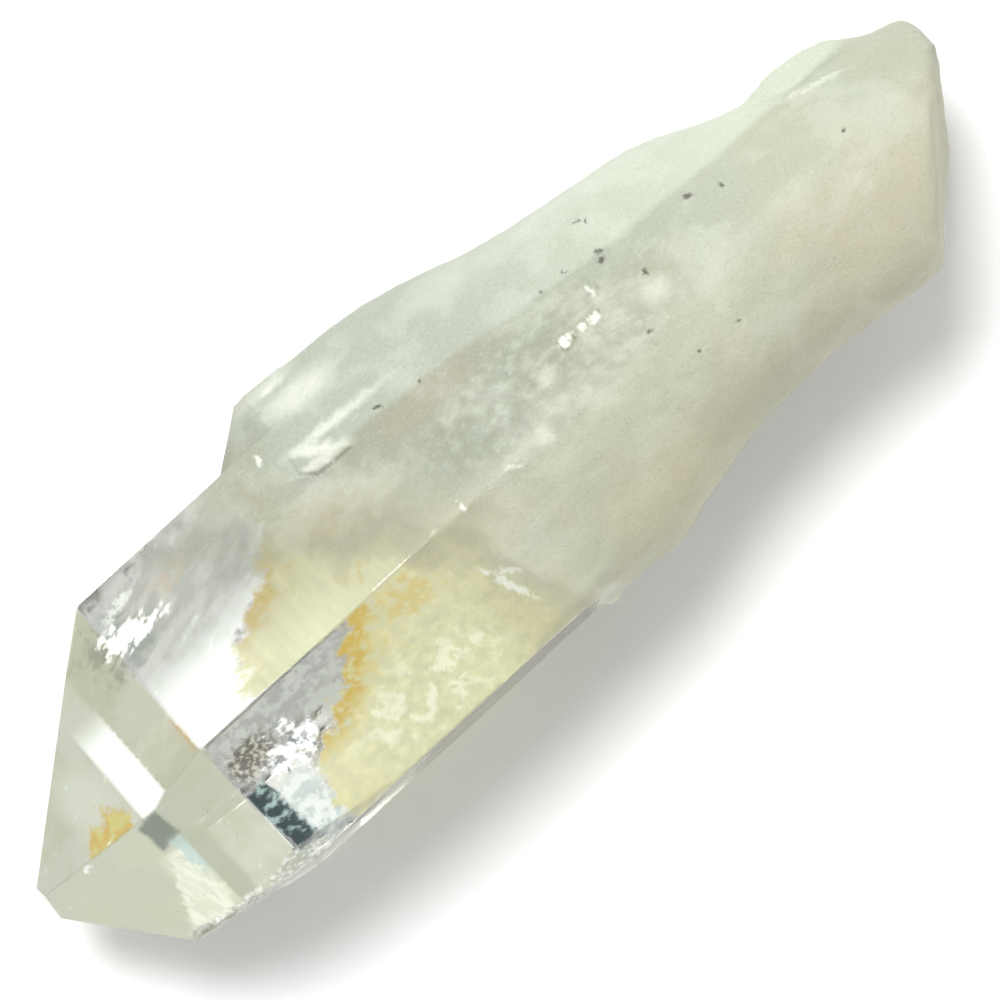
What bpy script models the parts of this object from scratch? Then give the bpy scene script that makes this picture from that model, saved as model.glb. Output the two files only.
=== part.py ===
"""A golden healer quartz: one natural crystal point, lying on its side.

The crystal's long axis runs along X, with the clear pointed tip towards -X and the
milky broken base towards +X. A second, smaller crystal is grown into its +Y side.
Lengths are millimetres times MM. Heights named RISE are measured from the long axis.
"""
import math

import bmesh
import bpy
import numpy as np
from mathutils import Matrix, Vector, noise

MM = 0.001

# Driving dimensions of the main crystal
TIP_X = -33.8 * MM
BASE_X = 38.2 * MM
AXIS_HEIGHT = 8.35 * MM
PRISM_ROLL = 35.0
FACE_STEP = 60.0
PRISM_REACH = {
    "upper_left": 7.54 * MM,
    "left": 10.14 * MM,
    "lower_left": 9.02 * MM,
    "lower_right": 7.54 * MM,
    "right": 10.14 * MM,
    "upper_right": 9.02 * MM,
}
BLANK = 200.0 * MM
TOLERANCE = 0.01 * MM

# Tip faces: prism face they stand on, angle to the long axis, and where they start
TIP_FACES = (
    ("upper_left", 25.0, -20.65 * MM, 7.54 * MM),
    ("upper_left", 35.4, -23.87 * MM, 6.04 * MM),
    ("upper_right", 21.5, -20.65 * MM, 9.02 * MM),
    ("upper_right", 40.8, -24.98 * MM, 7.31 * MM),
    ("left", 38.2, -20.60 * MM, 10.14 * MM),
    ("right", 10.5, -20.50 * MM, 10.14 * MM),
    ("right", 52.0, -29.25 * MM, 8.00 * MM),
    ("lower_left", 38.2, -23.90 * MM, 9.02 * MM),
    ("lower_right", 38.2, -28.20 * MM, 7.54 * MM),
)
TIP_POINT = Vector((TIP_X, -1.2 * MM, -2.2 * MM))
TIP_OUT = Vector((-1.0, 0.02, 0.18))
CORNER_FACET_POINT = Vector((-20.65, -2.10, 8.97)) * MM
CORNER_FACET_OUT = Vector((-0.33, -0.35, 0.876))
CHIPPED_RIM_POINT = Vector((-20.65, -8.80, 5.55)) * MM
CHIPPED_RIM_OUT = Vector((-0.085, -0.80, 0.60))

# The second crystal, turned and leaning towards the main one's base
TWIN_POINT = Vector((-6.55, 6.5, -2.0)) * MM
TWIN_YAW = 5.0
TWIN_ROLL = 41.0
TWIN_REACH = {
    "upper_left": 5.40 * MM,
    "left": 6.09 * MM,
    "lower_left": 5.10 * MM,
    "lower_right": 5.00 * MM,
    "right": 5.00 * MM,
    "upper_right": 6.32 * MM,
}
TWIN_TIP_FACES = (
    ("upper_left", 38.2, 0.9 * MM, 5.40 * MM),
    ("left", 38.2, 0.0 * MM, 6.09 * MM),
    ("upper_right", 38.2, 1.6 * MM, 6.32 * MM),
    ("lower_left", 38.2, -0.6 * MM, 5.10 * MM),
)

# The milky part is worn: it is sliced into rings and staves, then bent to its outline
RING_FIRST = -7.0 * MM
RING_STEP = 1.6 * MM
STAVE_STEP = 10.0
ROUNDING_START = -2.0 * MM
ROUNDING_END = 14.0 * MM
ROUNDING_PASSES = 24
ROUNDING_RATE = 0.5
SHARP_END = 0.1 * MM
BEND_IN = 2.0 * RING_STEP
LEFT_OUTLINE = (
    (-6.55, 12.99), (0.0, 12.58), (3.5, 12.10), (6.7, 11.40), (8.8, 10.53), (14.6, 9.48),
    (18.7, 8.62), (20.5, 8.54), (23.4, 7.25), (24.9, 6.44), (27.2, 5.75), (29.3, 5.05),
    (32.8, 4.15), (37.4, 2.70), (38.2, 1.90),
)
RIGHT_OUTLINE = (
    (-6.55, 10.30), (5.9, 10.41), (9.1, 10.53), (9.9, 10.12), (13.7, 9.54), (14.6, 9.07),
    (17.6, 8.66), (20.5, 8.48), (23.4, 8.60), (26.3, 8.89), (29.8, 9.42), (38.2, 9.60),
)
TOP_RISE = (
    (-6.55, 9.65), (4.0, 9.60), (12.0, 9.20), (22.0, 8.30), (30.0, 7.00), (35.0, 5.20),
    (38.2, 2.80),
)
BOTTOM_DROP = (
    (-6.55, 9.65), (8.0, 9.60), (18.0, 9.20), (26.0, 8.30), (33.0, 6.40), (38.2, 2.60),
)
WEAR_START = -5.0 * MM
WEAR_FULL = 8.0 * MM
WEAR_LUMP = 7.0 * MM
WEAR_HEIGHT = 0.34 * MM
WEAR_RIPPLE = 2.6 * MM
WEAR_RIPPLE_HEIGHT = 0.12 * MM
WEAR_RIPPLE_SHIFT = Vector((5.0, 3.0, 1.0))
BASE_WEAR_START = 24.0 * MM
BASE_WEAR_GAIN = 1.3
OUTLINE_LEAN = 0.45

# The broken base: one long break, one blunt end and a flake that stands out beside it
BREAK_POINT = Vector((34.3, -4.4, 1.0)) * MM
BREAK_OUT = Vector((0.76, -0.60, 0.14))
UNDERSIDE_BREAK_POINT = Vector((33.0, 1.0, -6.2)) * MM
UNDERSIDE_BREAK_OUT = Vector((0.52, 0.30, -0.80))
BROKEN_FACE_AREA = 8.0 * MM * MM
BROKEN_FACES_FROM = 31.4 * MM
BREAK_LENGTH = 10.0 * MM
FLAKE_CENTRE = Vector((30.6, 2.4, -1.4)) * MM
FLAKE_SIZE = Vector((13.0, 7.4, 7.0)) * MM
FLAKE_YAW = -6.0
FLAKE_CUTS = (
    (Vector((34.6, 4.9, -1.2)) * MM, Vector((0.62, 0.77, 0.14))),
    (Vector((27.8, 5.7, -1.2)) * MM, Vector((-0.36, 0.92, 0.15))),
    (Vector((31.4, 5.9, -1.0)) * MM, Vector((0.08, 0.42, 0.90))),
    (Vector((31.4, 6.0, -1.6)) * MM, Vector((-0.06, 0.74, -0.67))),
    (Vector((35.6, 3.5, -2.0)) * MM, Vector((0.74, 0.25, -0.62))),
    (Vector((26.6, 3.5, -1.0)) * MM, Vector((-0.80, 0.45, -0.40))),
)

# Small features: a nub on the right edge, chips on the tip's rim, stepped pits on top
NUB_CENTRE = Vector((2.9, -10.25, 2.6)) * MM
NUB_RADII = Vector((0.95, 0.62, 0.85)) * MM
CHIPS = (
    (Vector((-27.3, -9.35, 0.9)) * MM, 1.30 * MM),
    (Vector((-24.6, -9.75, 2.6)) * MM, 1.05 * MM),
    (Vector((-22.4, -10.05, 3.6)) * MM, 0.95 * MM),
    (Vector((-19.6, -10.60, 4.4)) * MM, 1.10 * MM),
    (Vector((-33.9, 0.3, -2.4)) * MM, 1.20 * MM),
    (Vector((9.9, -11.05, -1.2)) * MM, 1.40 * MM),
)
PITS = (
    (Vector((10.9, 2.60, 0.0)) * MM, 0.95 * MM),
    (Vector((12.2, 2.60, 0.0)) * MM, 0.60 * MM),
    (Vector((13.1, 2.65, 0.0)) * MM, 0.75 * MM),
    (Vector((14.0, 3.75, 0.0)) * MM, 0.60 * MM),
    (Vector((15.6, 4.90, 0.0)) * MM, 0.55 * MM),
)
PIT_DEPTH = 0.18 * MM
PIT_LEAN = -8.0
CHIP_STRETCH = 1.5
BALL_SEGMENTS = 12
BALL_RINGS = 8
BALL_LEAN = 23.0

# Finish
QUARTZ_COLOUR = (0.60, 0.60, 0.50, 1.0)
QUARTZ_ROUGHNESS = 0.12
QUARTZ_IOR = 1.544
QUARTZ_TRANSMISSION = 0.35


def clear_scene():
    for old in list(bpy.context.scene.objects):
        bpy.data.objects.remove(old, do_unlink=True)


def new_collection(name):
    collection = bpy.data.collections.new(name)
    bpy.context.scene.collection.children.link(collection)
    return collection


def add_object(name, bm, collection):
    mesh = bpy.data.meshes.new(name)
    bm.to_mesh(mesh)
    bm.free()
    thing = bpy.data.objects.new(name, mesh)
    collection.objects.link(thing)
    return thing


def add_cutter(name, bm, collection):
    cutter = add_object(name, bm, collection)
    cutter.hide_render = True
    cutter.display_type = "WIRE"
    return cutter


def keep_inside(bm, point, outward):
    """Cuts away everything beyond a plane and closes the cut."""
    everything = bm.verts[:] + bm.edges[:] + bm.faces[:]
    cut = bmesh.ops.bisect_plane(
        bm, geom=everything, plane_co=point, plane_no=outward, clear_outer=True
    )
    rim = [part for part in cut["geom_cut"] if isinstance(part, bmesh.types.BMEdge)]
    if rim:
        bmesh.ops.edgenet_fill(bm, edges=rim)


def face_normals(first_roll, frame):
    """Outward directions of the six prism faces, counted from the upper left one."""
    names = ("upper_left", "left", "lower_left", "lower_right", "right", "upper_right")
    normals = {}
    for index, name in enumerate(names):
        roll = math.radians(first_roll + FACE_STEP * index)
        normals[name] = frame @ Vector((0.0, math.sin(roll), math.cos(roll)))
    return normals


def crystal_mesh(centre, yaw, first_roll, reach, tip_faces):
    """A quartz crystal cut from a block by its prism faces and its tip faces."""
    frame = Matrix.Rotation(math.radians(-yaw), 3, "Z")
    long_axis = frame @ Vector((1.0, 0.0, 0.0))
    bm = bmesh.new()
    bmesh.ops.create_cube(bm, size=BLANK)
    normals = face_normals(first_roll, frame)
    for name, normal in normals.items():
        keep_inside(bm, centre + normal * reach[name], normal)
    for name, angle, start, distance in tip_faces:
        slope = math.radians(angle)
        outward = normals[name] * math.cos(slope) - long_axis * math.sin(slope)
        keep_inside(bm, centre + long_axis * start + normals[name] * distance, outward)
    keep_inside(bm, Vector((BASE_X, 0.0, 0.0)), Vector((1.0, 0.0, 0.0)))
    return bm


def main_crystal():
    bm = crystal_mesh(Vector((0.0, 0.0, 0.0)), 0.0, PRISM_ROLL, PRISM_REACH, TIP_FACES)
    keep_inside(bm, CORNER_FACET_POINT, CORNER_FACET_OUT)
    keep_inside(bm, CHIPPED_RIM_POINT, CHIPPED_RIM_OUT)
    keep_inside(bm, TIP_POINT, TIP_OUT)
    return bm


def twin_crystal():
    return crystal_mesh(TWIN_POINT, TWIN_YAW, TWIN_ROLL, TWIN_REACH, TWIN_TIP_FACES)


def combine(thing, other, operation):
    """Replaces a thing's mesh with the result of a Boolean with another object."""
    step = thing.modifiers.new(operation.lower(), "BOOLEAN")
    step.operation = operation
    step.solver = "EXACT"
    step.object = other
    bpy.context.view_layer.update()
    result = bpy.data.meshes.new_from_object(
        thing.evaluated_get(bpy.context.evaluated_depsgraph_get())
    )
    thing.modifiers.remove(step)
    old = thing.data
    thing.data = result
    bpy.data.meshes.remove(old)


def slice_faces(bm, faces, rings):
    """Cuts faces into rings across X and staves around the axis."""
    planes = [((x, 0.0, 0.0), (1.0, 0.0, 0.0)) for x in rings]
    for roll in np.radians(np.arange(0.0, 180.0, STAVE_STEP)):
        planes.append(((0.0, 0.0, 0.0), (0.0, math.cos(roll), math.sin(roll))))
    for point, across in planes:
        faces = [face for face in faces if face.is_valid]
        edges = list({edge for face in faces for edge in face.edges})
        verts = list({vert for face in faces for vert in face.verts})
        cut = bmesh.ops.bisect_plane(
            bm, geom=verts + edges + faces, plane_co=point, plane_no=across
        )
        faces = [part for part in cut["geom"] if isinstance(part, bmesh.types.BMFace)]


def ramp(value, low, high):
    """Rises smoothly from 0 at low to 1 at high."""
    t = min(max((value - low) / (high - low), 0.0), 1.0)
    return t * t * (3.0 - 2.0 * t)


def round_edges(bm):
    """Softens the long edges where the crystal turns milky."""
    for _ in range(ROUNDING_PASSES):
        moves = {}
        for vert in bm.verts:
            weight = ramp(vert.co.x, ROUNDING_START, ROUNDING_END)
            if weight == 0.0 or vert.co.x > BASE_X - SHARP_END:
                continue
            around = [edge.other_vert(vert).co for edge in vert.link_edges]
            middle = sum(around, Vector()) / len(around)
            step = (middle - vert.co) * ROUNDING_RATE * weight
            moves[vert] = vert.co + Vector((0.0, step.y, step.z))
        for vert, place in moves.items():
            vert.co = place


def reach_along(bm, rings, pick):
    """The body's extent at each ring, as an array to interpolate in."""
    reach = []
    for x in rings:
        near = [v.co for v in bm.verts if abs(v.co.x - x) < TOLERANCE]
        reach.append(max(pick(co) for co in near))
    return np.array(reach)


def along(outline, x):
    """An outline's value at X, both in metres."""
    points = np.array(outline) * MM
    return float(np.interp(x, points[:, 0], points[:, 1]))


def bend_to_outline(bm, rings):
    """Scales every ring so that its four sides follow the outlines."""
    sides = {
        "left": (reach_along(bm, rings, lambda co: co.y), LEFT_OUTLINE),
        "right": (reach_along(bm, rings, lambda co: -co.y), RIGHT_OUTLINE),
        "top": (reach_along(bm, rings, lambda co: co.z), TOP_RISE),
        "bottom": (reach_along(bm, rings, lambda co: -co.z), BOTTOM_DROP),
    }
    start = LEFT_OUTLINE[0][0] * MM
    for vert in bm.verts:
        x = vert.co.x
        if x < start:
            continue
        weight = ramp(x, start, start + BEND_IN)
        side = sides["left"] if vert.co.y > 0.0 else sides["right"]
        level = sides["top"] if vert.co.z > 0.0 else sides["bottom"]
        leaning_x = x + OUTLINE_LEAN * vert.co.z
        across = along(side[1], leaning_x) / float(np.interp(x, rings, side[0]))
        upward = along(level[1], x) / float(np.interp(x, rings, level[0]))
        vert.co.y *= 1.0 + (across - 1.0) * weight
        vert.co.z *= 1.0 + (upward - 1.0) * weight


def wear(bm):
    """Adds the shallow lumps and ripples of the milky part's natural surface."""
    bm.normal_update()
    moves = {}
    for vert in bm.verts:
        weight = ramp(vert.co.x, WEAR_START, WEAR_FULL)
        lump = noise.noise(vert.co / WEAR_LUMP) * WEAR_HEIGHT
        ripple = noise.noise(vert.co / WEAR_RIPPLE + WEAR_RIPPLE_SHIFT)
        weight *= 1.0 + BASE_WEAR_GAIN * ramp(vert.co.x, BASE_WEAR_START, BASE_X)
        height = (lump + ripple * WEAR_RIPPLE_HEIGHT) * weight
        moves[vert] = vert.co + vert.normal * height
    for vert, place in moves.items():
        vert.co = place


def shape_milky_part(body):
    bm = bmesh.new()
    bm.from_mesh(body.data)
    rings = np.arange(RING_FIRST, BASE_X - 0.5 * RING_STEP, RING_STEP)
    slice_faces(bm, bm.faces[:], rings)
    round_edges(bm)
    bend_to_outline(bm, rings)
    keep_inside(bm, BREAK_POINT, BREAK_OUT)
    keep_inside(bm, UNDERSIDE_BREAK_POINT, UNDERSIDE_BREAK_OUT)
    broken = [face for face in bm.faces if face.calc_area() > BROKEN_FACE_AREA]
    broken = [face for face in broken if face.calc_center_median().x > BROKEN_FACES_FROM]
    slice_faces(bm, broken, np.arange(BREAK_POINT.x - BREAK_LENGTH, BASE_X, RING_STEP))
    wear(bm)
    bm.to_mesh(body.data)
    bm.free()


def flake_mesh():
    bm = bmesh.new()
    bmesh.ops.create_cube(bm, size=1.0)
    place = Matrix.Translation(FLAKE_CENTRE)
    turn = Matrix.Rotation(math.radians(FLAKE_YAW), 4, "Z")
    bmesh.ops.transform(bm, matrix=place @ turn @ Matrix.Diagonal(FLAKE_SIZE.to_4d()), verts=bm.verts)
    for point, outward in FLAKE_CUTS:
        keep_inside(bm, point, outward)
    return bm


def ball_mesh(centre, radii):
    bm = bmesh.new()
    lean = Matrix.Rotation(math.radians(BALL_LEAN), 4, "X")
    stretch = Matrix.Diagonal((radii.x, radii.y, radii.z, 1.0))
    bmesh.ops.create_uvsphere(
        bm,
        u_segments=BALL_SEGMENTS,
        v_segments=BALL_RINGS,
        radius=1.0,
        matrix=Matrix.Translation(centre) @ lean @ stretch,
    )
    return bm


def surface_height(body, x, y):
    """Height of the body's upper surface above a point of the XY plane."""
    hit, place, _, _ = body.ray_cast(Vector((x, y, BLANK)), Vector((0.0, 0.0, -1.0)))
    if not hit:
        raise ValueError("a pit lies outside the crystal")
    return place.z


def pit_mesh(body, centre, side):
    """A small square block, sunk into the upper surface by the depth of a pit."""
    height = surface_height(body, centre.x, centre.y)
    bm = bmesh.new()
    bmesh.ops.create_cube(bm, size=side)
    lean = Matrix.Rotation(math.radians(PIT_LEAN), 4, "X")
    place = Matrix.Translation((centre.x, centre.y, height + 0.5 * side - PIT_DEPTH))
    bmesh.ops.transform(bm, matrix=place @ lean, verts=bm.verts)
    return bm


def rest_on_table(body):
    """Flattens the underside where the crystal rests and centres it over the origin."""
    bm = bmesh.new()
    bm.from_mesh(body.data)
    keep_inside(bm, Vector((0.0, 0.0, -AXIS_HEIGHT)), Vector((0.0, 0.0, -1.0)))
    bmesh.ops.remove_doubles(bm, verts=bm.verts, dist=TOLERANCE)
    bmesh.ops.dissolve_degenerate(bm, edges=bm.edges, dist=TOLERANCE)
    bmesh.ops.triangulate(bm, faces=bm.faces)
    bmesh.ops.recalc_face_normals(bm, faces=bm.faces)
    corners = [[f(v.co[i] for v in bm.verts) for f in (min, max)] for i in range(3)]
    middle = Vector((sum(corners[0]) / 2.0, sum(corners[1]) / 2.0, corners[2][0]))
    bmesh.ops.translate(bm, vec=-middle, verts=bm.verts)
    bm.to_mesh(body.data)
    bm.free()


def quartz_material():
    material = bpy.data.materials.new("quartz")
    material.use_nodes = True
    shader = material.node_tree.nodes["Principled BSDF"]
    shader.inputs["Base Color"].default_value = QUARTZ_COLOUR
    shader.inputs["Roughness"].default_value = QUARTZ_ROUGHNESS
    shader.inputs["IOR"].default_value = QUARTZ_IOR
    shader.inputs["Transmission Weight"].default_value = QUARTZ_TRANSMISSION
    return material


def build():
    clear_scene()
    parts = new_collection("golden_healer_quartz")
    cutters = new_collection("cutters")
    body = add_object("quartz_crystal", main_crystal(), parts)
    combine(body, add_cutter("twin", twin_crystal(), cutters), "UNION")
    shape_milky_part(body)
    combine(body, add_cutter("flake", flake_mesh(), cutters), "UNION")
    combine(body, add_cutter("nub", ball_mesh(NUB_CENTRE, NUB_RADII), cutters), "UNION")
    for index, (centre, radius) in enumerate(CHIPS):
        chip = ball_mesh(centre, Vector((radius * CHIP_STRETCH, radius, radius)))
        combine(body, add_cutter(f"chip_{index}", chip, cutters), "DIFFERENCE")
    for index, (centre, side) in enumerate(PITS):
        pit = pit_mesh(body, centre, side)
        combine(body, add_cutter(f"pit_{index}", pit, cutters), "DIFFERENCE")
    rest_on_table(body)
    body.data.materials.clear()
    body.data.materials.append(quartz_material())


build()
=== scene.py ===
"""Looks of a golden healer quartz: a clear stained tip growing out of a milky base.

All lengths are metres. The CAD node gives the crystal's form; this script gives it its
surface relief, its clear, golden and milky zones and what is seen inside the tip.
"""
import math

import bmesh
import bpy
import numpy as np
from mathutils import Matrix, Vector, noise


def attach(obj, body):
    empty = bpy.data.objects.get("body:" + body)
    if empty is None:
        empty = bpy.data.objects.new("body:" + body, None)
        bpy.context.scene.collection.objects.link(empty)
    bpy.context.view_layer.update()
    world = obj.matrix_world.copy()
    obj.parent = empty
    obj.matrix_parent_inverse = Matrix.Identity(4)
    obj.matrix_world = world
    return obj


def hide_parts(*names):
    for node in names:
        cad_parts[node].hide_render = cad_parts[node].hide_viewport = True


MM = 0.001
NODE = "quartz_crystal"

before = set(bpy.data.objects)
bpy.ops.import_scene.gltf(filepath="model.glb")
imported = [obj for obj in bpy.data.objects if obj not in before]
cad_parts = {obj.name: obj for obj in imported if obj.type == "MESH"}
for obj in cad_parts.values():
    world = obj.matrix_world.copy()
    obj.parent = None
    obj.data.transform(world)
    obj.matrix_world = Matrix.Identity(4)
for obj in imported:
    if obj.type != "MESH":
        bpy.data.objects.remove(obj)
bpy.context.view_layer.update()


# The photograph's frame: its scale and how the crystal's axis lies in it
PHOTO_SIZE = 1000
PHOTO_SCALE = 0.0585 * MM
PHOTO_TURN = math.radians(42.5)
AXIS_ROW = 677.0
CAMERA_DISTANCE = 0.70
SENSOR = 36.0

# Where the crystal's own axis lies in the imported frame
AXIS = Vector((2.40, 1.01, -8.35)) * MM


def in_model(along, across, rise=0.0):
    """A point given by photo pixels along and across the axis, and metres above it."""
    place = Vector((along * PHOTO_SCALE, (AXIS_ROW - across) * PHOTO_SCALE, rise))
    return place - AXIS


# Node helpers
class Shader:
    """Builds a material's nodes around its Principled shader."""

    def __init__(self, name):
        self.material = bpy.data.materials.new(name)
        self.material.use_nodes = True
        self.tree = self.material.node_tree
        self.surface = self.tree.nodes["Principled BSDF"]

    def add(self, kind, inputs=None, **settings):
        node = self.tree.nodes.new(kind)
        for key, value in settings.items():
            setattr(node, key, value)
        for key, value in (inputs or {}).items():
            self.feed(node.inputs[key], value)
        return node

    def feed(self, socket, value):
        if isinstance(value, bpy.types.NodeSocket):
            self.tree.links.new(value, socket)
        else:
            socket.default_value = value

    def place(self):
        return self.add("ShaderNodeTexCoord").outputs["Object"]

    def mask(self, name):
        return self.add("ShaderNodeAttribute", attribute_name=name).outputs["Fac"]

    def noise(self, size, detail=4.0, roughness=0.55):
        node = self.add(
            "ShaderNodeTexNoise",
            {
                "Vector": self.place(),
                "Scale": 1.0 / size,
                "Detail": detail,
                "Roughness": roughness,
            },
        )
        return node.outputs["Fac"]

    def times(self, *masks):
        total = masks[0]
        for mask in masks[1:]:
            total = self.maths("MULTIPLY", total, mask)
        return total

    def maths(self, operation, first, second):
        node = self.add("ShaderNodeMath", operation=operation)
        self.feed(node.inputs[0], first)
        self.feed(node.inputs[1], second)
        return node.outputs[0]

    def spread(self, value, low, high, first=0.0, last=1.0):
        node = self.add("ShaderNodeMapRange", interpolation_type="SMOOTHSTEP")
        for key, part in (
            ("Value", value), ("From Min", low), ("From Max", high),
            ("To Min", first), ("To Max", last),
        ):
            self.feed(node.inputs[key], part)
        return node.outputs["Result"]

    def mix(self, amount, first, second):
        node = self.add("ShaderNodeMix", data_type="RGBA")
        self.feed(node.inputs["Factor"], amount)
        self.feed(node.inputs["A"], first)
        self.feed(node.inputs["B"], second)
        return node.outputs["Result"]

    def blend(self, amount, first, second):
        node = self.add("ShaderNodeMix", data_type="FLOAT")
        self.feed(node.inputs["Factor"], amount)
        self.feed(node.inputs["A"], first)
        self.feed(node.inputs["B"], second)
        return node.outputs["Result"]

    def bump(self, height, depth):
        node = self.add("ShaderNodeBump", {"Height": height})
        node.inputs["Distance"].default_value = depth
        return node.outputs["Normal"]

    def set(self, **values):
        for key, value in values.items():
            self.feed(self.surface.inputs[key.replace("_", " ")], value)


def linear(red, green, blue):
    """A colour from sRGB values of 0 to 255."""
    def one(value):
        part = value / 255.0
        return part / 12.92 if part <= 0.04045 else ((part + 0.055) / 1.055) ** 2.4
    return (one(red), one(green), one(blue), 1.0)


def add_mesh(name, bm):
    mesh = bpy.data.meshes.new(name)
    bm.to_mesh(mesh)
    bm.free()
    thing = bpy.data.objects.new(name, mesh)
    bpy.context.scene.collection.objects.link(thing)
    return thing


def fine_mesh(mesh, voxel):
    """The same closed form, made again of even quads of one size."""
    holder = bpy.data.objects.new("holder", mesh)
    bpy.context.scene.collection.objects.link(holder)
    remesh = holder.modifiers.new("remesh", "REMESH")
    remesh.mode = "VOXEL"
    remesh.voxel_size = voxel
    bpy.context.view_layer.update()
    graph = bpy.context.evaluated_depsgraph_get()
    result = bpy.data.meshes.new_from_object(holder.evaluated_get(graph))
    bpy.data.objects.remove(holder)
    return result


def get_places(mesh):
    places = np.empty(len(mesh.vertices) * 3)
    mesh.vertices.foreach_get("co", places)
    return places.reshape(-1, 3)


def set_places(mesh, places):
    mesh.vertices.foreach_set("co", places.ravel())
    mesh.update()


def get_normals(mesh):
    normals = np.empty(len(mesh.vertices) * 3)
    mesh.vertex_normals.foreach_get("vector", normals)
    return normals.reshape(-1, 3)


def fractal(places, size, octaves=4, roughness=0.6):
    """Fractal noise of about -1 to 1 at each place."""
    rows = (places / size).tolist()
    return np.array([noise.fractal(row, roughness, 2.1, octaves) for row in rows])


def photo_axes(places):
    """The photograph's pixels along and across the axis, for places in the model."""
    along = (places[:, 0] + AXIS.x) / PHOTO_SCALE
    across = AXIS_ROW - (places[:, 1] + AXIS.y) / PHOTO_SCALE
    return along, across


# Where the milky part begins, as places across the axis and along it, in the photograph's pixels
MILK_FRONT = (
    (480.0, -215.0), (530.0, -190.0), (572.0, -150.0), (615.0, -80.0), (660.0, -40.0),
    (690.0, -20.0), (730.0, -15.0), (765.0, 0.0), (800.0, 22.0), (860.0, 55.0),
)


def milk_front(across):
    rows, starts = zip(*MILK_FRONT)
    return np.interp(across, rows, starts)


# Dark specks on the milky part, as along, across and half sizes in the photograph's pixels
SPECKS = (
    (271.0, 591.0, 4.5, 3.0), (267.0, 599.0, 3.0, 4.0), (372.0, 610.0, 4.5, 2.4),
    (4.0, 557.0, 3.0, 1.8), (403.0, 624.0, 1.8, 3.4), (290.0, 636.0, 2.6, 2.6),
    (230.0, 582.0, 2.6, 1.6), (200.0, 582.0, 2.4, 1.6), (274.0, 553.0, 4.5, 1.6),
    (281.0, 560.0, 1.6, 4.0), (51.0, 565.0, 1.8, 1.8), (325.0, 735.0, 2.6, 1.6),
    (274.0, 731.0, 2.6, 1.8), (252.0, 682.0, 2.6, 1.8), (530.0, 665.0, 2.0, 2.0),
)

# Crisp pale flecks and streaks, among them painted glints and a painted highlight along a ledge: along,
# across, half sizes, turn, and how strong they are
FLECKS_AND_GLINTS = (
    (186.0, 634.0, 9.0, 5.0, 0.0, 1.0), (206.5, 635.5, 5.0, 5.0, 0.0, 0.9),
    (220.0, 635.5, 6.0, 5.0, 0.0, 0.9), (237.0, 615.0, 3.0, 7.0, 0.0, 0.8),
    (-2.0, 686.0, 1.8, 7.5, 0.0, 1.0), (63.0, 692.0, 10.0, 3.0, 35.0, 0.5),
    (537.0, 611.0, 38.0, 2.6, 16.0, 0.4), (-120.0, 515.0, 5.0, 5.0, 30.0, 0.9),
    (-19.5, 772.0, 33.0, 4.0, 69.0, 0.8), (-10.0, 764.0, 14.0, 3.0, 40.0, 0.6),
)

# Soft pale clouds, in the same way; a few are painted light: a glint, a lighter streak over a crease's
# shade, and a highlight on the nub
CLOUDS_AND_LIGHTS = (
    (283.0, 656.0, 15.0, 12.0, 20.0, 0.40), (106.0, 690.0, 8.0, 10.0, 0.0, 0.45),
    (148.0, 648.0, 10.0, 10.0, 0.0, 0.35), (-45.0, 492.0, 36.0, 12.0, 0.0, 0.50),
    (-75.0, 464.0, 36.0, 6.0, 0.0, 0.30), (240.0, 520.0, 120.0, 14.0, 5.0, 0.15),
    (-35.0, 536.5, 56.0, 4.5, 3.6, 0.60), (-68.0, 546.0, 28.0, 5.5, 30.0, 0.65),
    (-60.0, 468.0, 13.0, 3.5, 0.0, 0.60), (-72.0, 557.0, 28.0, 4.5, 8.0, 0.50),
    (46.0, 853.0, 15.0, 11.0, 0.0, 0.80),
)

# Where the tip's markings are finest: along, across and radius
BUSY = ((-336.0, 548.0, 44.0), (-322.0, 735.0, 48.0), (-322.0, 800.0, 40.0), (-270.0, 750.0, 34.0))

# The crystal's surface
TIP_EDGE = 0.28 * MM
UNDER_EDGE = 0.60 * MM
MILKY_EDGE = 0.50 * MM
MILKY_UNDER_EDGE = 0.80 * MM
MARK_EDGE = 0.15 * MM
MARK_MARGIN = 6.0
BUSY_EDGE = 0.18 * MM
UPPER_FROM = -1.0 * MM
REFINING_PASSES = 9
MILKY_FROM = -2.5 * MM
MILKY_TO = 5.0 * MM
SMOOTHING_PASSES = 10
GRAIN_SIZE = 1.3 * MM
GRAIN_HEIGHT = 0.05 * MM


def longest_allowed(places):
    """How long edges may be at these places: short where fine markings are painted."""
    along, across = photo_axes(places)
    upper = places[:, 2] + AXIS.z > UPPER_FROM
    tip = np.where(upper, TIP_EDGE, UNDER_EDGE)
    base = np.where(upper, MILKY_EDGE, MILKY_UNDER_EDGE)
    allowed = np.where(places[:, 0] + AXIS.x > MILKY_FROM, base, tip)
    spots = [(mark[0], mark[1], max(mark[2:4]) + MARK_MARGIN, MARK_EDGE) for mark in SPECKS + FLECKS_AND_GLINTS]
    spots += [zone + (BUSY_EDGE,) for zone in BUSY]
    for spot_along, spot_across, reach, edge in spots:
        near = np.hypot(along - spot_along, across - spot_across) < reach
        allowed = np.where(near & upper, np.minimum(allowed, edge), allowed)
    return allowed


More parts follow.
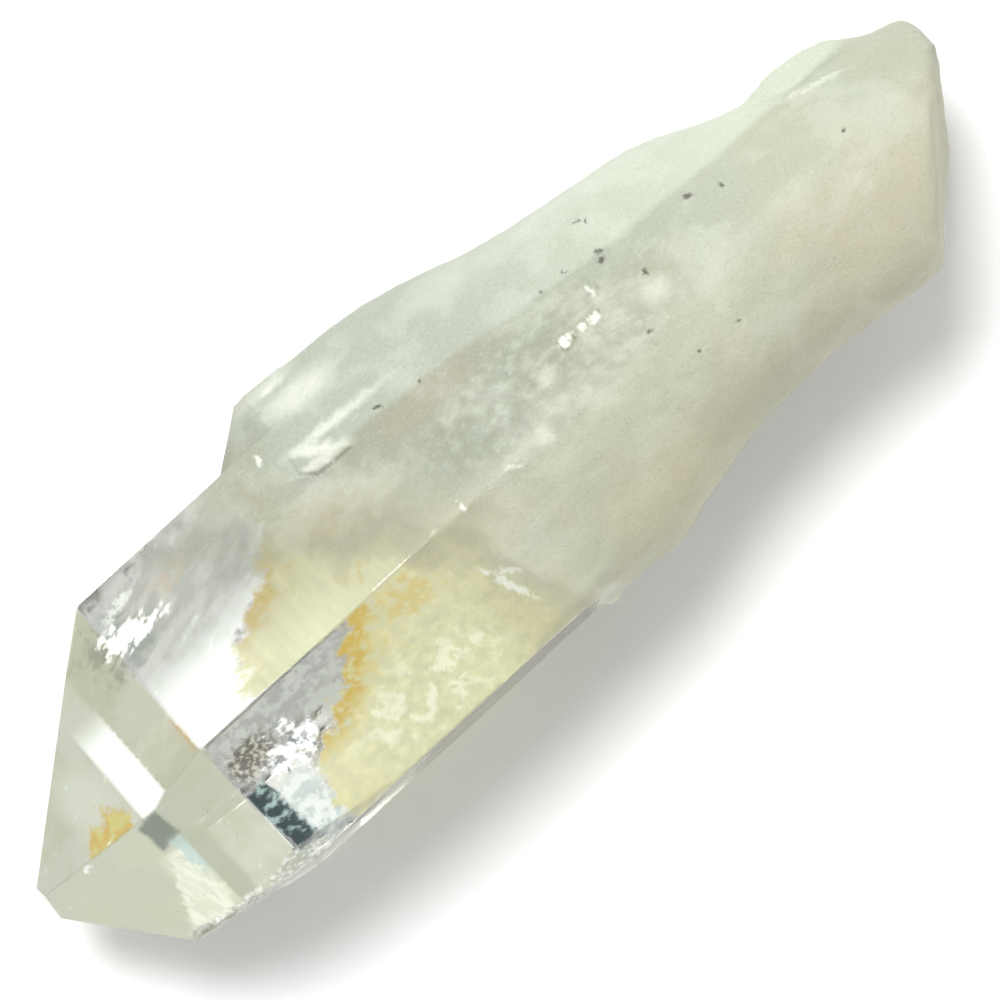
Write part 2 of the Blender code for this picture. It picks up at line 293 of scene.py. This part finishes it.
def crystal_mesh():
    """The CAD form, divided finely, with its facets smoothed away on the milky part."""
    bm = bmesh.new()
    bm.from_mesh(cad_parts[NODE].data)
    bmesh.ops.remove_doubles(bm, verts=bm.verts, dist=0.002 * MM)
    for _ in range(REFINING_PASSES):
        edges = bm.edges[:]
        ends = np.array([edge.verts[0].co[:] + edge.verts[1].co[:] for edge in edges])
        lengths = np.linalg.norm(ends[:, 3:] - ends[:, :3], axis=1)
        too_long = lengths > longest_allowed((ends[:, :3] + ends[:, 3:]) / 2.0)
        if not too_long.any():
            break
        long_ones = [edges[index] for index in np.flatnonzero(too_long)]
        bmesh.ops.subdivide_edges(bm, edges=long_ones, cuts=1)
        bmesh.ops.triangulate(bm, faces=[face for face in bm.faces if len(face.verts) > 3])
    start = MILKY_FROM - AXIS.x
    soft = [v for v in bm.verts if v.co.x > start and v.co.z > 0.05 * MM]
    for _ in range(SMOOTHING_PASSES):
        bmesh.ops.smooth_vert(
            bm, verts=soft, factor=0.5, use_axis_x=True, use_axis_y=True, use_axis_z=True
        )
    bm.normal_update()
    moves = []
    for vert in soft:
        weight = float(spread(vert.co.x + AXIS.x, MILKY_FROM, MILKY_TO))
        height = noise.fractal(vert.co / GRAIN_SIZE, 0.6, 2.2, 3) * GRAIN_HEIGHT
        moves.append((vert, vert.co + vert.normal * height * weight))
    for vert, place in moves:
        vert.co = place
    return bm


# The stain under the tip: where it starts along the axis, for places across it
STAIN_START = (
    (600.0, -60.0), (634.0, -100.0), (640.0, -165.0), (660.0, -190.0), (683.0, -225.0),
    (704.0, -238.0), (721.0, -275.0), (744.0, -288.0), (870.0, -296.0),
)

# The smaller crystal's lower edge, as places along the axis and across it
TWIN_EDGE = ((-190.0, 520.0), (-50.0, 557.0), (100.0, 570.0), (250.0, 590.0), (420.0, 600.0))

# The stain as seen through the two upper faces: where it starts and ends, for places across,
# and its far edge, as places along and across
GOLD_START = (
    (566.0, -160.0), (580.0, -182.0), (612.0, -212.0), (620.0, -246.0), (655.0, -278.0),
    (687.0, -284.0), (691.0, -165.0), (740.0, -215.0), (765.0, -258.0), (790.0, -290.0),
    (870.0, -294.0),
)
GOLD_TOP = (
    (-245.0, 624.0), (-205.0, 612.0), (-184.0, 584.0), (-165.0, 570.0), (-148.0, 574.0),
    (-128.0, 590.0), (-80.0, 616.0), (-40.0, 640.0),
)
GOLD_END = (
    (566.0, -165.0), (590.0, -128.0), (615.0, -80.0), (635.0, -60.0), (660.0, -40.0),
    (690.0, -26.0), (700.0, -14.0), (760.0, -4.0), (800.0, 26.0), (860.0, 60.0),
)


def spread(value, low, high, first=0.0, last=1.0):
    """A soft step from first to last as the value goes from low to high."""
    t = np.clip((value - low) / (high - low), 0.0, 1.0)
    return first + (last - first) * t * t * (3.0 - 2.0 * t)


class Painter:
    """Paints zones onto a mesh: each has a colour and says how clear the quartz is there."""

    def __init__(self, mesh):
        self.mesh = mesh
        self.places = get_places(mesh)
        self.normals = get_normals(mesh)
        self.along, self.across = photo_axes(self.places)
        self.flat = np.stack((self.along, self.across), axis=1)
        self.colour = np.ones((len(self.places), 3))
        self.clear = np.ones(len(self.places))

    def field(self, size, octaves=4, roughness=0.6, stretch=(1.0, 1.0, 1.0), turn=0.0, seed=0.0):
        """A noise of about 0 to 1, drawn out by a stretch along turned axes."""
        spin = np.array(Matrix.Rotation(math.radians(turn), 3, "Z"))
        places = self.places @ spin / (np.array(stretch) * size) + seed
        values = [noise.fractal(place, roughness, 2.1, octaves) for place in places.tolist()]
        return 0.5 + 0.5 * np.array(values)

    def pulled(self, size, reach, seed):
        """Places along and across, pulled about by noise to give what is drawn ragged edges."""
        shifts = [self.field(size, 4, 0.6, seed=seed + step) - 0.5 for step in (0.0, 37.0)]
        return self.flat + np.stack(shifts, axis=1) * 2.0 * reach

    def tone(self, mask, colour):
        """Brings the colour towards another one."""
        mask = np.clip(mask, 0.0, 1.0)[:, None]
        if np.ndim(colour) == 1:
            colour = np.array(colour[:3])[None, :]
        self.colour += (colour - self.colour) * mask

    def lay(self, mask, colour, clear):
        """Lays a veil of a colour over what is there."""
        self.tone(mask, colour)
        self.clear += (clear - self.clear) * np.clip(mask, 0.0, 1.0)

    def store(self):
        rows = np.concatenate((self.colour, np.ones((len(self.colour), 1))), axis=1)
        layer = self.mesh.attributes.new("tint", "FLOAT_COLOR", "POINT")
        layer.data.foreach_set("color", rows.astype(np.float32).ravel())
        self.keep("clear", self.clear)

    def keep(self, name, values):
        layer = self.mesh.attributes.new(name, "FLOAT", "POINT")
        layer.data.foreach_set("value", values.astype(np.float32))


def patch(points, centre, half, turn=0.0, soft=0.4, square=False):
    """1 inside an ellipse or box of the given half sizes, fading out over its soft edge."""
    angle = math.radians(turn)
    gap = points - np.array(centre)
    forward = (gap[:, 0] * math.cos(angle) + gap[:, 1] * math.sin(angle)) / half[0]
    sideways = (gap[:, 1] * math.cos(angle) - gap[:, 0] * math.sin(angle)) / half[1]
    if square:
        away = np.maximum(np.abs(forward), np.abs(sideways))
    else:
        away = np.hypot(forward, sideways)
    return spread(away, 1.0 - soft, 1.0 + soft, 1.0, 0.0)


def blend(amount, first, second):
    """Colours between two, for each place's amount."""
    return np.array(first[:3]) + (np.array(second[:3]) - np.array(first[:3])) * amount[:, None]


def paint_stain(paint, under):
    """Iron stain on the underside, with a darker ragged rim."""
    rows, starts = zip(*STAIN_START)
    inside = paint.along - np.interp(paint.across, rows, starts)
    inside = inside + (paint.field(1.2 * MM, 5, seed=3.0) - 0.5) * 90.0
    stained = spread(inside, -4.0, 8.0) * under
    rim = spread(inside, 8.0, 70.0, 1.0, 0.0) * spread(paint.field(0.9 * MM, 4, seed=5.0), 0.3, 0.55)
    pale = blend(spread(paint.field(1.6 * MM, 4, seed=7.0), 0.3, 0.7),
                 linear(240, 234, 165), linear(252, 250, 215))
    rim_colour = np.array(linear(222, 184, 88)[:3])
    colour = pale + (rim_colour - pale) * rim[:, None]
    paint.lay(stained, colour, 0.5)


# Where the chipped rim turns pale, as along and across
PALE_RIM = (
    (-495.0, 817.0), (-430.0, 824.0), (-392.0, 829.0), (-356.0, 822.0), (-330.0, 830.0),
    (-290.0, 846.0),
)

# The upper edge of the rust patch under the largest end facet, as along and across
RUST_TOP = (
    (-528.0, 703.0), (-510.0, 698.0), (-500.0, 680.0), (-490.0, 667.0), (-483.0, 681.0),
    (-476.0, 670.0), (-468.0, 664.0), (-458.0, 678.0), (-452.0, 682.0),
)


def paint_tip(paint, above, far_side):
    """The hazy end facets, their tone set by facet as painted shade, a pale band of painted light, and
    what shows just inside them.
    """
    # Painted shade: the frost is darker on end facets facing +y and on those facing more upward.
    haze_and_shade = blend(far_side, linear(174, 180, 148), linear(131, 133, 101))
    haze_and_shade = haze_and_shade * spread(paint.normals[:, 2], 0.74, 0.86, 1.0, 0.82)[:, None]
    clouds = paint.field(4.0 * MM, 4, seed=11.0)
    frost = spread(-paint.normals[:, 0], 0.15, 0.28) * spread(clouds, 0.3, 0.7, 0.72, 0.86)
    paint.lay(frost, haze_and_shade, 0.0)
    torn = paint.pulled(1.2 * MM, 24.0, 13.0)
    wavy = paint.pulled(0.5 * MM, 7.0, 17.0)
    crisp = paint.pulled(0.5 * MM, 2.0, 109.0)
    facet_a = above * far_side
    # Painted light: a pale band where the lit floor is seen through the largest end facet.
    floor_light_band = patch(paint.flat, (-425.5, 646.0), (17.5, 62.0), 0.0, 0.08, True)
    floor_light_band = floor_light_band * facet_a * spread(paint.across, 582.0, 625.0, 0.0, 1.0)
    paint.lay(floor_light_band, linear(216, 222, 216), 0.1)
    paint.lay(patch(paint.flat, (-478.0, 645.0), (26.0, 34.0), 0.0, 0.7) * facet_a,
              linear(170, 174, 160), 0.1)
    top = np.interp(wavy[:, 0], *zip(*RUST_TOP))
    rust = spread(wavy[:, 1] - top, -5.0, 7.0) * facet_a * spread(wavy[:, 0], -452.0, -456.0)
    rust = rust * spread(paint.across, 704.0, 702.0)
    rusty = blend(spread(paint.field(0.6 * MM, 4, seed=19.0), 0.35, 0.65),
                  linear(166, 138, 48), linear(166, 158, 84))
    paint.lay(rust * 0.92, rusty, 0.05)
    paint.lay(patch(crisp, (-440.0, 720.0), (13.0, 17.0), -8.0, 0.15, True) * above,
              linear(118, 128, 114), 0.2)
    paint.lay(patch(crisp, (-433.0, 757.0), (7.0, 22.0), 0.0, 0.3, True) * above,
              linear(182, 200, 192), 0.2)
    rays = paint.field(0.7 * MM, 4, 0.6, (0.5, 2.8, 1.0), 8.0, seed=23.0)
    middle = np.interp(paint.across, (742.0, 828.0), (-446.0, -459.0))
    width = np.interp(paint.across, (742.0, 828.0), (4.0, 33.0))
    fan = spread(np.abs(wavy[:, 0] - middle) / width, 0.7, 1.2, 1.0, 0.0) * above
    fan = fan * spread(paint.across, 740.0, 752.0) * spread(paint.across, 836.0, 822.0)
    paint.lay(fan * spread(rays, 0.25, 0.7, 0.5, 1.0), linear(218, 222, 202), 0.0)
    rim_from = np.interp(paint.along, *zip(*PALE_RIM))
    rim = spread(crisp[:, 1] - rim_from, -2.0, 4.0) * spread(crisp[:, 0], -286.0, -294.0)
    rim = rim * spread(crisp[:, 0], -500.0, -488.0) * spread(paint.normals[:, 2], -0.75, -0.5)
    flaked = spread(paint.field(0.3 * MM, 3, 0.7, seed=103.0), 0.4, 0.65)
    paint.lay(rim * 0.9, blend(flaked, linear(172, 178, 156), linear(232, 236, 228)), 0.05)


def paint_fractures(paint, above):
    """Bright fractures, painted light, and painted dark reflections just inside the two upper prism
    faces.
    """
    torn = paint.pulled(1.0 * MM, 20.0, 29.0)
    wavy = paint.pulled(0.5 * MM, 7.0, 31.0)
    before_tip = spread(paint.along, -356.0, -351.0)
    feathers = paint.field(1.1 * MM, 5, 0.7, (2.0, 0.5, 1.0), 20.0, seed=37.0)
    glassy = paint.field(0.6 * MM, 4, 0.65, seed=41.0)
    grains = paint.field(0.28 * MM, 3, 0.8, seed=43.0)
    # Painted reflections: greys for the darker surroundings seen in the two upper faces.
    far_dark_reflection = patch(torn, (-255.0, 560.0), (100.0, 52.0), 0.0, 0.4, True) * above * before_tip
    far_grey = blend(spread(feathers, 0.3, 0.7), linear(108, 113, 97), linear(144, 149, 133))
    paint.lay(far_dark_reflection * 0.72, far_grey, 0.15)
    near_dark_reflection = patch(paint.flat, (-260.0, 706.0), (94.0, 22.0), 0.0, 0.4, True) * above * before_tip
    near_dark_reflection = near_dark_reflection * spread(paint.across, 690.0, 693.0)
    near_grey = blend(spread(glassy, 0.35, 0.7), linear(118, 124, 110), linear(176, 182, 172))
    paint.lay(near_dark_reflection * 0.68, near_grey, 0.15)
    gap = patch(torn, (-226.0, 737.0), (36.0, 15.0), 0.0, 0.5) * above
    paint.lay(gap * 0.8, linear(166, 172, 160), 0.1)
    rows, starts = zip(*GOLD_START)
    before_gold = spread(torn[:, 0] - np.interp(paint.across, rows, starts), 26.0, -6.0)
    lit = before_tip * before_gold * spread(paint.across, 690.0, 686.0) * above
    gleam = spread(paint.across, 585.0, 650.0)
    paint.lay(lit * spread(paint.across, 572.0, 640.0) * 0.88,
              blend(gleam, linear(166, 172, 162), linear(206, 211, 205)), 0.0)
    line = patch(paint.pulled(0.4 * MM, 2.0, 107.0), (-356.5, 667.0), (2.5, 20.0), 0.0, 0.5) * above
    paint.lay(line * 0.6, linear(166, 132, 74), 0.1)
    smudge = patch(torn, (-345.0, 556.0), (40.0, 26.0), 10.0, 0.5) * above
    paint.lay(smudge * spread(feathers, 0.6, 0.5) * 0.6, linear(104, 112, 104), 0.25)
    wing = patch(wavy, (-333.0, 556.0), (34.0, 13.0), 14.0, 0.9) * above
    wing = spread(wing + 1.1 * (feathers - 0.5), 0.42, 0.72)
    paint.lay(wing, linear(226, 230, 224), 0.0)
    streak = patch(wavy, (-322.0, 528.0), (30.0, 3.5), -14.0, 0.5) * above
    paint.lay(streak * 0.6, linear(206, 210, 204), 0.0)
    paint.lay(patch(torn, (-255.0, 542.0), (26.0, 8.0), -8.0, 0.7) * above * 0.7,
              linear(176, 160, 140), 0.3)
    dark = blend(spread(grains, 0.46, 0.74), linear(76, 70, 56), linear(184, 184, 168))
    paint.lay(patch(wavy, (-321.0, 730.0), (34.0, 19.0), 0.0, 0.35) * above * before_tip * 0.9, dark, 0.1)
    crisp = paint.pulled(0.5 * MM, 2.5, 113.0)
    teal = blend(spread(glassy, 0.52, 0.76), linear(38, 56, 60), linear(150, 172, 168))
    strip = patch(crisp, (-339.0, 790.0), (14.0, 39.0), -5.0, 0.12, True) * above * before_tip
    paint.lay(strip, teal, 0.1)
    frozen = blend(spread(glassy, 0.4, 0.6), linear(172, 188, 184), linear(216, 224, 220))
    paint.lay(patch(wavy, (-305.0, 804.0), (19.0, 38.0), -6.0, 0.3, True) * above * 0.85, frozen, 0.2)
    blob = blend(spread(glassy, 0.3, 0.38), linear(120, 130, 128), linear(250, 251, 250))
    paint.lay(patch(torn, (-284.0, 749.0), (28.0, 16.0), 0.0, 0.35) * above, blob, 0.0)


def paint_gold(paint, above):
    """The stain's colour as a veil in the two upper faces, with a ragged darker rim and painted
    highlights on its crumpled part.
    """
    rows, starts = zip(*GOLD_START)
    inside = paint.along - np.interp(paint.across, rows, starts)
    inside = inside + (paint.field(1.0 * MM, 5, 0.65, seed=67.0) - 0.5) * 36.0
    rows, ends = zip(*GOLD_END)
    left = np.interp(paint.across, rows, ends) - paint.along
    near = spread(paint.across, 686.0, 692.0)
    stripes = paint.field(0.4 * MM, 3, 0.6, (1.0, 9.0, 9.0), seed=71.0)
    mottled = paint.field(0.7 * MM, 5, 0.7, seed=73.0)
    crinkles = paint.field(0.75 * MM, 4, 0.8, (1.0, 1.6, 1.0), 30.0, seed=79.0)
    veil = spread(inside, -4.0, spread(near, 0.0, 1.0, 15.0, 9.0)) * spread(left, -95.0, -15.0)
    glow = spread(paint.across, 625.0, 684.0) * spread(paint.along, -110.0, -190.0, 0.45, 1.0)
    far_colour = blend(glow, linear(151, 150, 88), linear(184, 187, 134))
    far_colour = far_colour * (1.0 + 0.3 * (stripes - 0.5))[:, None]
    near_colour = blend(spread(paint.along, -90.0, -20.0), linear(204, 205, 150), linear(182, 179, 122))
    near_colour = near_colour * (1.0 + 0.4 * (mottled - 0.5))[:, None]
    pale = far_colour + (near_colour - far_colour) * near[:, None]
    gold = blend(near, linear(156, 134, 56), linear(186, 160, 68))
    reach = spread(near, 0.0, 1.0, 34.0, 70.0)
    rim = spread(inside / reach, 0.2, 1.2, 1.0, 0.0) * spread(mottled, 0.16, 0.52)
    rim = rim * (near + (1.0 - near) * spread(paint.across, 624.0, 652.0, 1.0, 0.3))
    rim = rim * spread(paint.across, 755.0, 795.0, 1.0, 0.2)
    torn = paint.pulled(1.0 * MM, 22.0, 83.0)
    ridge_side = patch(torn, (-106.0, 715.0), (46.0, 20.0), 0.0, 0.6) * near
    rim = np.maximum(rim, ridge_side * spread(mottled, 0.28, 0.68) * 0.7)
    below_top = torn[:, 1] - np.interp(paint.along, *zip(*GOLD_TOP))
    far_rim = spread(below_top, 6.0, 38.0, 1.0, 0.0) * (1.0 - near) * spread(mottled, 0.16, 0.4)
    far_rim = far_rim * spread(paint.along, -50.0, -110.0, 0.3, 1.0)
    rim = np.maximum(rim, far_rim * spread(paint.across, 645.0, 630.0, 0.3, 1.0) * 0.9)
    spot = patch(torn, (-120.0, 665.0), (10.0, 8.0), 0.0, 0.6)
    rim = np.maximum(rim, spot * 0.6)
    colour = pale + (gold - pale) * rim[:, None]
    # Painted highlights: pale flecks on the crumpled part of the stain.
    crumpled = patch(torn, (-150.0, 798.0), (85.0, 34.0), 0.0, 0.5) * near
    crinkle_highlight = crumpled * spread(crinkles, 0.5, 0.66) * 0.85
    colour = colour + (np.array(linear(238, 239, 206)[:3]) - colour) * crinkle_highlight[:, None]
    paint.lay(veil * above * (0.74 + 0.08 * near + 0.16 * rim), colour, 0.12)


# How much paler the milky part is along its far side
PALER = ((0.0, 0.92), (100.0, 0.93), (300.0, 1.15), (450.0, 1.31), (600.0, 1.28))


# How soon the first haze takes on the milky part's colour, how fast it hides what is behind it,
# and how much paler it is
FIRST_HAZE = 0.3
HAZE_GAIN = 3.0
HAZE_GLOW = 0.15


def paint_milk(paint):
    """The milky part: cloudy greys, with its shaded side and the smaller crystal's face painted paler as
    painted light.
    """
    front = milk_front(paint.across)
    ragged = spread(paint.across, 660.0, 730.0, 60.0, 40.0)
    past = paint.along - front + (paint.field(2.6 * MM, 5, 0.65, seed=47.0) - 0.5) * ragged
    reach = spread(paint.across, 660.0, 730.0, 88.0, 34.0)
    milky = spread(past, -reach, reach)
    hue = spread(paint.field(9.0 * MM, 3, seed=53.0), 0.25, 0.75)
    # Painted light: the side away from the light is painted lighter, evening out its shading.
    shaded_side = spread(paint.across, 655.0, 725.0)
    milk = blend(hue, linear(138, 139, 121), linear(136, 141, 126))
    milk = milk + (blend(hue, linear(171, 168, 146), linear(168, 169, 148)) - milk) * shaded_side[:, None]
    # Painted light: the smaller crystal's face, which gets more light, is painted paler.
    rows, edges = zip(*TWIN_EDGE)
    twin_lit_face = spread(paint.across - np.interp(paint.along, rows, edges), 4.0, -4.0)
    twin_lit_face = (twin_lit_face * spread(paint.along, -160.0, -60.0))[:, None]
    milk = milk + (np.array(linear(152, 158, 144)[:3]) - milk) * twin_lit_face
    paler = np.interp(paint.along, *zip(*PALER))
    milk = milk * (paler + (1.0 - paler) * shaded_side)[:, None]
    cloud = spread(paint.field(4.0 * MM, 5, seed=59.0), 0.4, 0.8)[:, None] * 0.2
    milk = milk + (np.array(linear(200, 202, 190)[:3]) - milk) * cloud
    paint.tone(milky ** FIRST_HAZE, milk * (1.0 + HAZE_GLOW * (1.0 - milky))[:, None])
    paint.clear = np.minimum(paint.clear, (1.0 - milky) ** HAZE_GAIN)
    return milky


def paint_marks(paint, above, milky):
    """Flecks, clouds and specks on the milky part, among them painted glints and highlights."""
    rough = patch(paint.flat, (160.0, 645.0), (150.0, 58.0), 4.0, 0.4) * above * milky
    grains = paint.field(0.7 * MM, 5, 0.75, seed=97.0)
    paint.lay(rough * spread(grains, 0.56, 0.72) * 0.28, linear(182, 186, 172), 0.0)
    paint.lay(rough * spread(grains, 0.42, 0.28) * 0.22, linear(112, 114, 98), 0.0)
    paint.lay(patch(paint.flat, (65.0, 585.0), (60.0, 18.0), 0.0, 0.8) * above * 0.3,
              linear(146, 138, 116), 0.0)
    paint.lay(patch(paint.flat, (180.0, 815.0), (70.0, 36.0), 0.0, 0.8) * above * 0.3,
              linear(186, 182, 142), 0.0)
    wavy = paint.pulled(0.5 * MM, 3.0, 61.0)
    torn = spread(paint.field(0.4 * MM, 3, 0.7, seed=101.0), 0.2, 0.4)
    # Some clouds are painted light: a glint, a lighter streak over a crease's shade, and a highlight on
    # the nub.
    for along, across, half_along, half_across, turn, strength in CLOUDS_AND_LIGHTS:
        cloud = patch(wavy, (along, across), (half_along, half_across), turn, 0.7) * above
        paint.lay(cloud * strength, linear(206, 209, 197), 0.0)
    # Some flecks are painted glints, and one is a painted highlight along a ledge.
    for along, across, half_along, half_across, turn, strength in FLECKS_AND_GLINTS:
        fleck_or_glint = patch(wavy, (along, across), (half_along, half_across), turn, 0.3) * above
        paint.lay(fleck_or_glint * torn * strength, linear(206, 209, 198), 0.0)
    for along, across, half_along, half_across in SPECKS:
        speck = patch(wavy, (along, across), (half_along, half_across), 25.0, 0.4) * above
        paint.lay(speck * 0.85, linear(52, 50, 42), 0.0)


def paint_crystal(mesh):
    paint = Painter(mesh)
    above = spread(paint.normals[:, 2], 0.0, 0.3)
    under = spread(paint.places[:, 2] + AXIS.z, -2.2 * MM, -3.2 * MM)
    far_side = spread(paint.normals[:, 1], -0.2, 0.2)
    paint_stain(paint, under)
    paint_tip(paint, above, far_side)
    paint_fractures(paint, above)
    paint_gold(paint, above)
    milky = paint_milk(paint)
    paint_marks(paint, above, milky)
    paint.keep("milky", milky)
    paint.store()


# Quartz's index of refraction, and how it tints light on long ways through it
QUARTZ_IOR = 1.544
QUARTZ_TINT = (0.62, 0.70, 0.30, 1.0)
QUARTZ_DENSITY = 9.0


def quartz_material():
    shader = Shader("quartz")
    milky = shader.mask("milky")
    tint = shader.add("ShaderNodeAttribute", attribute_name="tint").outputs["Color"]
    speckle = shader.noise(0.2 * MM, 1.5, 0.7)
    light = shader.times(shader.spread(speckle, 0.5, 0.8, 0.0, 0.1), milky)
    dark = shader.times(shader.spread(speckle, 0.45, 0.25, 0.0, 0.22), milky)
    colour = shader.mix(light, tint, linear(226, 228, 216))
    colour = shader.mix(dark, colour, linear(118, 118, 100))
    shader.set(
        Base_Color=colour,
        Roughness=shader.spread(milky, 0.0, 0.35, 0.01, 0.6),
        IOR=QUARTZ_IOR,
        Transmission_Weight=shader.mask("clear"),
        Normal=shader.bump(shader.times(speckle, milky), 0.04 * MM),
    )
    absorption = shader.add("ShaderNodeVolumeAbsorption")
    absorption.inputs["Color"].default_value = QUARTZ_TINT
    absorption.inputs["Density"].default_value = QUARTZ_DENSITY
    output = shader.tree.nodes["Material Output"]
    shader.tree.links.new(absorption.outputs[0], output.inputs["Volume"])
    return shader.material


def build_crystal():
    crystal = add_mesh("quartz", crystal_mesh())
    mesh = crystal.data
    paint_crystal(mesh)
    start = MILKY_FROM - AXIS.x
    for face in mesh.polygons:
        face.use_smooth = face.center.x > start
    mesh.set_sharp_from_angle(angle=math.radians(40.0))
    mesh.materials.append(quartz_material())
    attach(crystal, "root")
    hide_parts(NODE)
    return crystal


# The milky inside of the crystal
CORE_VOXEL = 0.45 * MM
CORE_DEPTH = 0.6 * MM
CORE_RAGGED = 0.9 * MM
CORE_BEHIND = 30.0


def milk_material():
    shader = Shader("milk")
    clouds = shader.noise(4.0 * MM)
    colour = shader.mix(clouds, linear(186, 186, 166), linear(214, 218, 204))
    shader.set(Base_Color=colour, Roughness=0.7, Specular_IOR_Level=0.0)
    shader.set(Normal=shader.bump(shader.noise(0.8 * MM), 0.3 * MM))
    return shader.material


def build_core():
    mesh = fine_mesh(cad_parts[NODE].data.copy(), CORE_VOXEL)
    places = get_places(mesh)
    along, across = photo_axes(places)
    front = (milk_front(across) + CORE_BEHIND) * PHOTO_SCALE - AXIS.x
    wander = fractal(places * (0.0, 1.0, 1.0), 2.2 * MM, 5, 0.7) * CORE_RAGGED
    places[:, 0] = np.maximum(places[:, 0], front + wander)
    set_places(mesh, places)
    mesh = fine_mesh(mesh, CORE_VOXEL)
    places = get_places(mesh) - get_normals(mesh) * CORE_DEPTH
    set_places(mesh, places)
    core = bpy.data.objects.new("milky_inside", mesh)
    bpy.context.scene.collection.objects.link(core)
    mesh.shade_smooth()
    mesh.materials.append(milk_material())
    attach(core, "root")


# Stage
FLOOR_GAP = 0.1 * MM


def build_floor():
    bm = bmesh.new()
    bmesh.ops.create_grid(bm, x_segments=1, y_segments=1, size=1.5)
    floor = add_mesh("floor", bm)
    floor.location.z = -FLOOR_GAP
    shader = Shader("floor")
    shader.set(Base_Color=(0.88, 0.88, 0.88, 1.0), Roughness=0.9)
    floor.data.materials.append(shader.material)


def build_camera():
    middle = PHOTO_SIZE / 2.0
    along = math.cos(PHOTO_TURN) * middle - math.sin(PHOTO_TURN) * middle
    across = math.sin(PHOTO_TURN) * middle + math.cos(PHOTO_TURN) * middle
    data = bpy.data.cameras.new("camera")
    data.sensor_width = SENSOR
    data.lens = SENSOR * CAMERA_DISTANCE / (PHOTO_SIZE * PHOTO_SCALE)
    data.clip_start = 0.01
    camera = bpy.data.objects.new("camera", data)
    camera.location = in_model(along, across, CAMERA_DISTANCE)
    camera.rotation_euler = (0.0, 0.0, -PHOTO_TURN)
    bpy.context.scene.collection.objects.link(camera)
    bpy.context.scene.camera = camera


SKY = ((0.0, 0.60, 0.60, 0.55), (0.35, 0.90, 0.91, 0.89), (0.82, 1.0, 1.0, 1.0), (0.93, 0.10, 0.10, 0.10))
KEY_DIRECTION = Vector((0.08, 0.50, 0.86)).normalized()
KEY_STRENGTH = 18.0
KEY_EDGE = 0.95
KEY_CORE = 0.99


def build_world():
    """A pale room: grey walls, brighter above, dark straight overhead, and one soft window."""
    world = bpy.data.worlds.new("studio")
    bpy.context.scene.world = world
    world.use_nodes = True
    tree = world.node_tree
    coords = tree.nodes.new("ShaderNodeTexCoord")
    split = tree.nodes.new("ShaderNodeSeparateXYZ")
    tree.links.new(coords.outputs["Generated"], split.inputs[0])
    ramp = tree.nodes.new("ShaderNodeValToRGB")
    stops = ramp.color_ramp.elements
    while len(stops) < len(SKY):
        stops.new(0.5)
    for stop, (place, red, green, blue) in zip(stops, SKY):
        stop.position = place
        stop.color = (red, green, blue, 1.0)
    tree.links.new(split.outputs["Z"], ramp.inputs[0])
    towards = tree.nodes.new("ShaderNodeVectorMath")
    towards.operation = "DOT_PRODUCT"
    tree.links.new(coords.outputs["Generated"], towards.inputs[0])
    towards.inputs[1].default_value = KEY_DIRECTION
    window = tree.nodes.new("ShaderNodeMapRange")
    window.interpolation_type = "SMOOTHSTEP"
    tree.links.new(towards.outputs["Value"], window.inputs["Value"])
    window.inputs["From Min"].default_value = KEY_EDGE
    window.inputs["From Max"].default_value = KEY_CORE
    window.inputs["To Max"].default_value = KEY_STRENGTH
    total = tree.nodes.new("ShaderNodeMix")
    total.data_type = "RGBA"
    total.blend_type = "ADD"
    total.inputs["Factor"].default_value = 1.0
    tree.links.new(ramp.outputs[0], total.inputs["A"])
    tree.links.new(window.outputs[0], total.inputs["B"])
    tree.links.new(total.outputs["Result"], tree.nodes["Background"].inputs["Color"])


build_camera()
build_crystal()
build_core()
build_floor()
build_world()
bpy.context.scene.view_settings.view_transform = "Standard"
